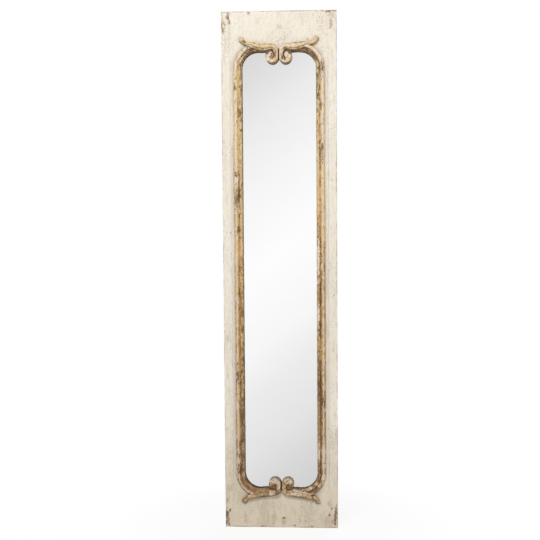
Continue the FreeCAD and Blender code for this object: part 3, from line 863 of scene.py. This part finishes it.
def moulding_marks(piece, patches):
    """Marks the painted cove, the dark grooves, the painted shade, the rubbed and highlighted ridge and their
    wear on a length of moulding.
    """
    points = points_of(piece)
    x, z = points[:, 0], points[:, 2]
    out, up = out_from_sight(points), (front - points[:, 1]) / MM
    left, inner = x < 0, out < inner_bead_width

    def band(middle, reach):
        return np.exp(-((out - middle) / reach) ** 2)

    # Dark in the groove and along the main bead's outer edge, as grime and painted shade, paler on the left;
    # and painted shade at the inner bead's foot by the glass
    shade_and_grime = band(inner_bead_width + groove_width / 2, 1.7) + 0.8 * band(main_bead_end, 1.1)
    patchy = 1.3 * hand_noise(points, 24, 21) + 0.9 * hand_noise(points, 90, 22)
    shade_and_grime *= np.clip(np.where(left, 0.0, 0.5) + patchy, 0, 1.1)
    shade_and_grime += 0.55 * np.clip(1 - up / 4.5, 0, 1) * inner

    # The inner bead's painted shade, with some brown dirt: darker low down and on the left, darker still in the
    # top corners under the rails, lighter in the bottom corners, and streaked low down
    shade = np.interp(z, (-0.7, 0.2, 0.6), (0.6, 0.25, 0.5))
    shade *= np.where(left, 1.0, np.interp(z, (0.2, 0.6), (0.35, 1.15)))
    turn = np.arctan2(np.abs(z) - arc_z, np.maximum(np.abs(x) - arc_x, 0.1 * MM))
    shade += np.where(z < 0, -0.4, 0.6) * np.clip(turn / (math.pi / 2) * 1.5 - 0.25, 0, 1)
    broken = hand_noise(points, 60, 25) + 0.9 * hand_noise(points, 190, 26)
    broken += np.interp(z, (-0.5, 0.1), (1.4, 0.4)) * hand_noise(points * (1, 1, 0.12), 240, 27)
    shade *= np.clip(1 + np.interp(z, (-0.6, 0.0), (1.7, 1.0)) * broken, 0, 2.4)

    # Grime and painted shade in the cove, darkest at the main bead's foot, half as strong on the right
    foot = np.exp(-np.clip(out - main_bead_end, 0, None) / 4.0) * np.where(left, 1.0, 0.5)
    chipped = np.zeros(len(points), np.float32)
    piece.data.attributes["patch"].data.foreach_get("value", chipped)
    marks = {
        "shade_and_grime": np.clip(shade_and_grime + shade * inner, 0, 1),
        "cove": np.clip((out - main_bead_end + 1.0) / 2.0, 0, 1),
        # The ridge is pale as rubbed wear and painted highlight, and the inner bead's gold browns towards the
        # top as painted shade
        "ridge": band(main_bead_middle, 3.0),
        "aged_and_shade": inner * np.interp(z, (0.0, 0.5), (0.0, 1.0)),
        "rim": band(main_bead_end - 2.0, 1.8),
        "cove_grime_and_shade": foot * np.clip(0.8 + hand_noise(points, 12, 24), 0, 1),
        "patch": np.maximum(chipped, spots_on(points, patches, 31)),
        "pits": spots_on(points, moulding_pits, 33),
    }
    for name, values in marks.items():
        set_mark(piece, name, values)


def corner_path(side, end):
    """The rounded corner's path, run the same way round the glass as the side runs are."""
    turns = np.linspace(0, math.pi / 2, corner_turns)
    xs = side * (arc_x + sight_corner_radius * np.cos(turns))
    zs = end * (arc_z + sight_corner_radius * np.sin(turns))
    points = [(x, front, z) for x, z in zip(xs, zs)]
    return points if side * end > 0 else points[::-1]


def sink_under_rail(piece):
    """Lowers the outer part of a corner into the panel where the scroll's rail takes its place."""
    points = points_of(piece)
    turn = np.degrees(np.arctan2(np.abs(points[:, 2]) - arc_z, np.abs(points[:, 0]) - arc_x))
    outer = np.clip((out_from_sight(points) - main_bead_end + sink_edge) / sink_edge, 0, 1)
    share = np.clip((turn - sink_turn) / sink_blend, 0, 1) * outer
    count = len(section_outline())
    place = np.arange(len(points)) % count
    underside = (place == 0) | (place >= count - 2)
    sunk = front + np.where(underside, sunk_underside, sunk_face)
    points[:, 1] += share * (sunk - points[:, 1])
    piece.data.vertices.foreach_set("co", points.ravel())
    piece.data.update()


section = outline_curve("moulding_section", [(up * MM, out * MM, 0) for out, up in section_outline()], True)
sweep_tree = moulding_tree()
for index, (name, side) in enumerate(SIDES.items()):
    ends = [(side * sight_x, front, -side * arc_z), (side * sight_x, front, side * arc_z)]
    run = moulding(f"{name}_moulding_carved", ends, run_step, 3.0 + index)
    moulding_marks(run, run_patches[side])
    finished(run, "worn_gilding", "frame", f"{name}_moulding")
for index, (end_name, end) in enumerate(ENDS.items()):
    for side_name, side in SIDES.items():
        name = f"{end_name}_{side_name}_corner"
        corner = moulding(f"{name}_carved", corner_path(side, end), corner_step, 7.0 + index * 2 + side)
        moulding_marks(corner, corner_patches[end, side])
        sink_under_rail(corner)
        finished(corner, "worn_gilding", "frame", f"{name}_moulding")
bpy.data.objects.remove(section)


# Scrolls


def volute_station(curl, turn):
    """Centre, half width and height of the curl at a turn, its outer edge a shrinking oval."""
    late = max(0.0, (turn - volute_round) / (volute_turn - volute_round))
    shrink = 1 - volute_shrink * late ** 2
    half = float(np.interp(turn, volute_turns, curl["halves"]))
    angle = math.radians(turn)
    x = volute_middle_x - (curl["spread"] * shrink - half) * math.sin(angle)
    z = -volute_drop + (curl["reach"] * shrink - half) * math.cos(angle)
    return x, z, half, volute_height + (volute_end_height - volute_height) * (turn / volute_turn) ** 3


def scroll_path(curl, horn_lift, rail_half_widths):
    """Centre line from the horn's tip to the end of the curl, with half width and height."""
    start_x, start_z, start_half, _ = volute_station(curl, 0)
    slope = math.atan2(horn_base_lift - start_z, horn_base_x - start_x)
    radius = horn_radius * horn_lift
    centre_x, centre_z = horn_base_x - math.sin(slope) * radius, horn_base_lift + math.cos(slope) * radius
    stations = []
    for share in np.linspace(0, 1, horn_stations)[:-1]:
        angle = slope + math.radians(horn_sweep * (1 - share))
        x, z = centre_x + radius * math.sin(angle), centre_z - radius * math.cos(angle)
        swell = math.sin(share * math.pi / 2) ** 0.6
        half = horn_half_width + (rail_half_widths[0] - horn_half_width) * swell
        stations.append((x, z, half, horn_height + (rail_height - horn_height) * swell))
    rail_shares = np.linspace(0, 1, len(rail_half_widths))
    for share in np.linspace(0, 1, rail_stations)[:-1]:
        x = horn_base_x + (start_x - horn_base_x) * share
        z = horn_base_lift + (start_z - horn_base_lift) * share
        half = np.interp(share, rail_shares, rail_half_widths)
        z -= rail_drop * max(0.0, half - start_half)
        stations.append((x, z, half, rail_height + (volute_height - rail_height) * share))
    stations += [volute_station(curl, turn) for turn in np.linspace(0, volute_turn, curl_stations)]
    return np.array(stations)


def scroll_stem(curl, horn_lift, rail_half_widths, tip_swell, furrow_depth):
    """Horn, rail and curl as one carved sweep: points (x, z, up), faces and two marks of each point."""
    path = scroll_path(curl, horn_lift, rail_half_widths)
    for column in range(4):
        pad = np.pad(path[:, column], stem_smoothing // 2, mode="edge")
        path[:, column] = np.convolve(pad, np.ones(stem_smoothing) / stem_smoothing, "valid")
    steps = np.linalg.norm(np.diff(path[:, :2], axis=0), axis=1)
    along = np.concatenate([[0], np.cumsum(steps)])
    even = np.linspace(0, along[-1], stem_stations)
    path = np.stack([np.interp(even, along, path[:, c]) for c in range(4)], 1)
    heading = np.gradient(path[:, :2], axis=0)
    heading /= np.linalg.norm(heading, axis=1)[:, None]
    across = np.stack([-heading[:, 1], heading[:, 0]], 1)
    us = np.concatenate([[-1.0], np.sin(np.linspace(-math.pi / 2, math.pi / 2, stem_columns)), [1.0]])
    points, shade_and_grime, ridge = [], [], []
    for (x, z, half, high), (across_x, across_z), from_tip in zip(path, across, even):
        half = half * (1 + tip_swell * math.exp(-((from_tip - tip_swell_at) / tip_swell_reach) ** 2))
        cap = math.sqrt(max(0.0, 1 - max(0.0, 1 - from_tip / tip_round) ** 2))
        half, high = half * max(cap, tip_half_kept), high * max(cap, tip_height_kept)
        side = high - stem_round * half
        fade_in = min(1.0, max(0.0, (from_tip - furrow_start) / furrow_fade))
        fade_out = min(1.0, max(furrow_kept, (even[-1] - from_tip - furrow_end) / furrow_fade))
        cut = furrow_depth * fade_in * fade_out
        for place, u in enumerate(us):
            furrow = math.exp(-((u - furrow_place) / furrow_half) ** 2)
            up = side + (high - side) * math.sqrt(max(0.0, 1 - u * u)) - cut * furrow
            if place in (0, len(us) - 1):
                up = 0.0
            points.append((x + across_x * half * u, z + across_z * half * u, up))
            # Dark as grime in the carved furrow, and as painted shade low on the flanks and on one side of the
            # stem
            hollow = 0.75 * furrow * cut / furrow_depth + 0.8 * (up < 6) + 0.5 * max(0.0, u - 0.6)
            shade_and_grime.append(min(1.0, hollow))
            ridge.append(math.exp(-((u - crest_place) / crest_half) ** 2))
    return np.array(points), tube_faces(len(path), len(us)), np.array(shade_and_grime), np.array(ridge)


def curl_ground(curl, rings=10, sides=56):
    """The sunk ground inside the curl, hollowed towards its middle."""
    rim_x, rim_z = curl["spread"] - ground_inset_x, curl["reach"] - ground_inset_z
    points = oval(volute_middle_x, -volute_drop, rim_x, rim_z, 0.0, sides)
    for share in np.linspace(1, 0.03, rings):
        up = ground_height - ground_hollow * (1 - share)
        points += oval(volute_middle_x, -volute_drop, rim_x * share, rim_z * share, up, sides)
    return np.array(points), tube_faces(rings + 1, sides)


def curl_eye(x, z, across, tall, high, rings=14, sides=40):
    """The rounded bulb in the curl."""
    points = []
    for ring in range(rings):
        angle = math.pi / 2 * ring / (rings - 1)
        wide = math.cos(angle) if ring < rings - 1 else 0.02
        points += oval(x, z, across * wide, tall * wide, high * math.sin(angle), sides)
    return np.array(points), tube_faces(rings, sides)


def rail_seat():
    """The inner bead and ledge under the rail, from the rounded corner to the volute."""
    outs = [0.0, 0.0, *bead_outs(0.0, inner_bead_width), main_bead_start, seat_width, seat_width]
    ups = [0.0, *(bead_height(out) for out in outs[1:-2]), seat_edge_height, 0.0]
    xs = np.linspace(arc_x / MM, seat_end_x, seat_stations)
    points = [(x, out, up) for x in xs for out, up in zip(outs, ups)]
    return np.array(points), tube_faces(len(xs), len(outs))


def carved_scroll(name, side, end, seed):
    """One scroll, drawn for the top right and turned over for the other three."""
    curl = curls[end]
    stem, stem_faces, stem_shade_and_grime, stem_ridge = scroll_stem(curl, *scroll_shapes[end, side])
    # Painted shade on the stems where the pair meets, and painted shade with grime on the seat, darker towards
    # the curl
    meeting = meeting_shade * np.clip((meeting_at - stem[:, 0]) / meeting_fade, 0, 1)
    seat, seat_faces = rail_seat()
    seat_plain, seat_more = curl["seat_shade_and_grime"]
    seat_shade_and_grime = seat_plain + seat_more * np.clip((seat_shade_at - seat[:, 0]) / seat_shade_fade, 0, 1)
    parts = [
        (stem, stem_faces, np.maximum(stem_shade_and_grime, meeting), curl["ridge"] * stem_ridge),
        (*curl_ground(curl), curl["ground_shade_and_grime"], 0.0),
        (*curl_eye(*curl["eye"]), curl["eye_shade_and_grime"], 0.6),
        (seat, seat_faces, seat_shade_and_grime, 0.0),
    ]
    flat, faces = joined(part[:2] for part in parts)
    shade_and_grime, ridge = (
        np.concatenate([np.broadcast_to(part[mark], len(part[0])) for part in parts]) for mark in (2, 3)
    )
    back = flat[:, 2] < back_limit
    flat[back & (flat[:, 1] < -sight_margin), 2] = back_over_glass
    placed = np.stack([side * flat[:, 0] * MM, front - flat[:, 2] * MM, end * (sight_z + flat[:, 1] * MM)], 1)

    # Carved by hand: nothing moves at the panel, and the pair never meets
    lift = np.clip(flat[:, 2] / carve_height, 0, 1) * MM
    carving = 0.55 * hand_noise(placed, 55, seed) + 0.4 * hand_noise(placed, 160, seed + 1)
    carving += 0.3 * hand_noise(placed, 380, seed + 4)
    patch = spots_on(placed, scroll_patches[end, side], seed + 5)
    patch = np.maximum(patch, np.clip(2.4 * hand_noise(placed, 80, seed + 8) - curl["whole"], 0, 0.8))
    placed[:, 1] += lift * (carving + 0.5 * np.clip(patch * 2 - 0.6, 0, 1))
    placed[:, 2] += lift * 0.7 * hand_noise(placed, 40, seed + 2)
    placed[:, 0] += lift * 0.5 * hand_noise(placed, 40, seed + 3)
    placed[:, 0] = side * np.maximum(side * placed[:, 0], meeting_gap * MM)
    pits = np.clip(2.4 * hand_noise(placed, 95, seed + 9) - curl["whole"] - 0.1, 0, 0.9)
    marks = {
        # Grime and painted shade, middling on the backs
        "shade_and_grime": np.where(back, 0.5, shade_and_grime),
        "ridge": ridge,
        "aged_and_shade": np.ones(len(placed)),
        "patch": patch,
        "pits": np.maximum(pits, spots_on(placed, scroll_pits, seed + 7)),
    }
    return face_out(solid_piece(name, placed, faces, marks))


for end_name, end in ENDS.items():
    for side_name, side in SIDES.items():
        name = f"{end_name}_{side_name}_scroll"
        scroll = carved_scroll(f"{name}_carved", side, end, 11 + 3 * end + side)
        finished(scroll, "worn_gilding", "frame", name)


# Painted panel and its battens


def countersunk(board, places, surface, sides=24):
    """Cuts the screws' countersinks into a board's back, at (x, z) places."""
    mouth = head_radius + head_room
    rings = ((surface + cutter_over, mouth), (surface, mouth), (surface - head_depth, shank_radius))
    holes = []
    for x, z in places:
        points = [point for y, radius in rings for point in oval(x, z, radius, radius, y, sides)]
        holes.append(([(px, y, pz) for px, pz, y in points], tube_faces(len(rings), sides)))
    cutter = face_out(solid_piece("countersinks", *joined(holes), smooth=False))
    modifier = board.modifiers.new("countersunk", "BOOLEAN")
    modifier.operation = "DIFFERENCE"
    modifier.solver = "EXACT"
    modifier.object = cutter
    mesh = made_mesh(board)
    board.modifiers.clear()
    board.data = mesh
    bpy.data.objects.remove(cutter)


for name, (seed, edge, dent) in panel_boards.items():
    board = worn_board(f"{name}_worn", *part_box(name), seed, edge, panel_cell, dent, panel_chips, panel_stains)
    finished(board, "cream_paint", "frame", name)
for name, seed in batten_seeds.items():
    low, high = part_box(name)
    batten = worn_board(f"{name}_sawn", low, high, seed, batten_edge, batten_cell, batten_dent, joint=1.0)
    middle = (low.z + high.z) / 2
    heads = [(x, middle + z) for x in (-screw_x, screw_x) for z in (-screw_spread / 2, screw_spread / 2)]
    countersunk(batten, heads, high.y)
    finished(batten, "bare_pine", "frame", name)

# Solids that are shown as they are

shown_nodes = {
    "cream_paint": ["left_stile", "right_stile"],
    "silvered_glass": ["mirror_glass"],
    "felt_tape": ["glass_tape"],
    "hardboard": ["back_board"],
    "bare_pine": ["stile_dowels"],
    "steel_screws": ["back_board_screws", "batten_screws", "moulding_screws", "hanger_screws"],
    "zinc_plate": ["left_hanger_strap", "right_hanger_strap", "left_d_ring", "right_d_ring"],
}
for slot, names in shown_nodes.items():
    for name in names:
        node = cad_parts[name]
        node.data.materials.clear()
        node.data.materials.append(finishes[slot])


# Stage, light and camera


def stage_floor():
    """A pale floor that fades into the white background and keeps the mirror's shadow."""
    mesh = bpy.data.meshes.new("floor")
    corners = ((-1, -1), (1, -1), (1, 1), (-1, 1))
    places = [(x * floor_reach, y * floor_reach, cad_box[0][2]) for x, y in corners]
    mesh.from_pydata(places, [], [(0, 1, 2, 3)])
    floor = new_object("floor", mesh)
    floor.visible_glossy = False
    f = Finish("floor_white", 0.9)
    f.shader.inputs["Base Color"].default_value = (*FLOOR_GREY, 1)
    rays = f.node("ShaderNodeLightPath").outputs
    far = f.step("ShaderNodeVectorMath", "Value", {0: f.place}, operation="LENGTH")
    fade = {"Value": far, "From Min": floor_fade[0], "From Max": floor_fade[1], "To Min": floor_white}
    fade = f.step("ShaderNodeMapRange", "Result", fade, interpolation_type="SMOOTHSTEP")
    share = f.times(f.most(rays["Is Camera Ray"], rays["Is Glossy Ray"]), fade)
    white = f.step("ShaderNodeEmission", 0, {"Strength": 1.0})
    both = f.step("ShaderNodeMixShader", 0, {0: share, 1: f.shader.outputs[0], 2: white})
    f.tree.links.new(both, f.tree.nodes["Material Output"].inputs["Surface"])
    mesh.materials.append(f.material)


def white_room():
    """White behind the mirror, a soft grey room in front of it and even light on its sides."""
    world = bpy.data.worlds.new("room")
    bpy.context.scene.world = world
    world.use_nodes = True
    world.node_tree.nodes.clear()
    w = Nodes(world.node_tree)

    def light(colour, strength):
        return w.step("ShaderNodeBackground", 0, {"Color": colour, "Strength": strength})

    def choose(share, a, b):
        return w.step("ShaderNodeMixShader", 0, {0: share, 1: a, 2: b})

    rays = w.node("ShaderNodeLightPath").outputs
    way = w.node("ShaderNodeSeparateXYZ", {0: w.step("ShaderNodeTexCoord", "Generated")}).outputs
    depth = w.math("MAXIMUM", w.times(way["Y"], -1.0), 0.05)
    sideways, upwards = w.math("DIVIDE", way["X"], depth), w.math("DIVIDE", way["Z"], depth)
    slant = w.plus(w.times(sideways, room_slant), upwards, -1.0)
    span = {"Value": slant, "From Min": room_span[0], "From Max": room_span[1]}
    ramp = w.node("ShaderNodeValToRGB", {"Fac": w.step("ShaderNodeMapRange", "Result", span)})
    stops = ramp.color_ramp.elements
    stops[0].color = (room_start_grey, room_start_grey, room_start_grey, 1)
    stops[1].color = (room_end_grey, room_end_grey, room_end_grey, 1)
    for position, grey in room_greys:
        stops.new(position).color = (grey, grey, grey, 1)
    mirrored = choose(rays["Is Glossy Ray"], light(WHITE, room_light), light(ramp.outputs["Color"], 1.0))
    clear = w.math("MAXIMUM", rays["Is Camera Ray"], rays["Is Transmission Ray"])
    w.node("ShaderNodeOutputWorld", {"Surface": choose(clear, mirrored, light(WHITE, 1.0))})


def soft_lamp(name, place, aim, size, watts):
    """A lamp that lights the mirror and isn't seen in its glass."""
    data = bpy.data.lights.new(name, "AREA")
    data.shape = "RECTANGLE"
    data.size, data.size_y = size
    data.energy = watts
    lamp = new_object(name, data)
    lamp.location = place
    lamp.rotation_euler = (Vector(aim) - Vector(place)).to_track_quat("-Z", "Y").to_euler()
    lamp.visible_glossy = False


def turned(degrees, axis):
    return Matrix.Rotation(math.radians(degrees), 4, axis)


stage_floor()
white_room()
for lamp in lamps:
    soft_lamp(*lamp)

camera_data = bpy.data.cameras.new("camera")
camera_data.sensor_width = sensor_width
camera_data.lens = focal_pixels / photo_pixels * sensor_width
camera = new_object("camera", camera_data)
camera_turn = turned(camera_yaw, "Z") @ turned(90 + camera_pitch, "X") @ turned(camera_roll, "Z")
camera.matrix_world = Matrix.Translation(camera_place) @ camera_turn
bpy.context.scene.camera = camera
bpy.context.scene.view_settings.view_transform = "Standard"
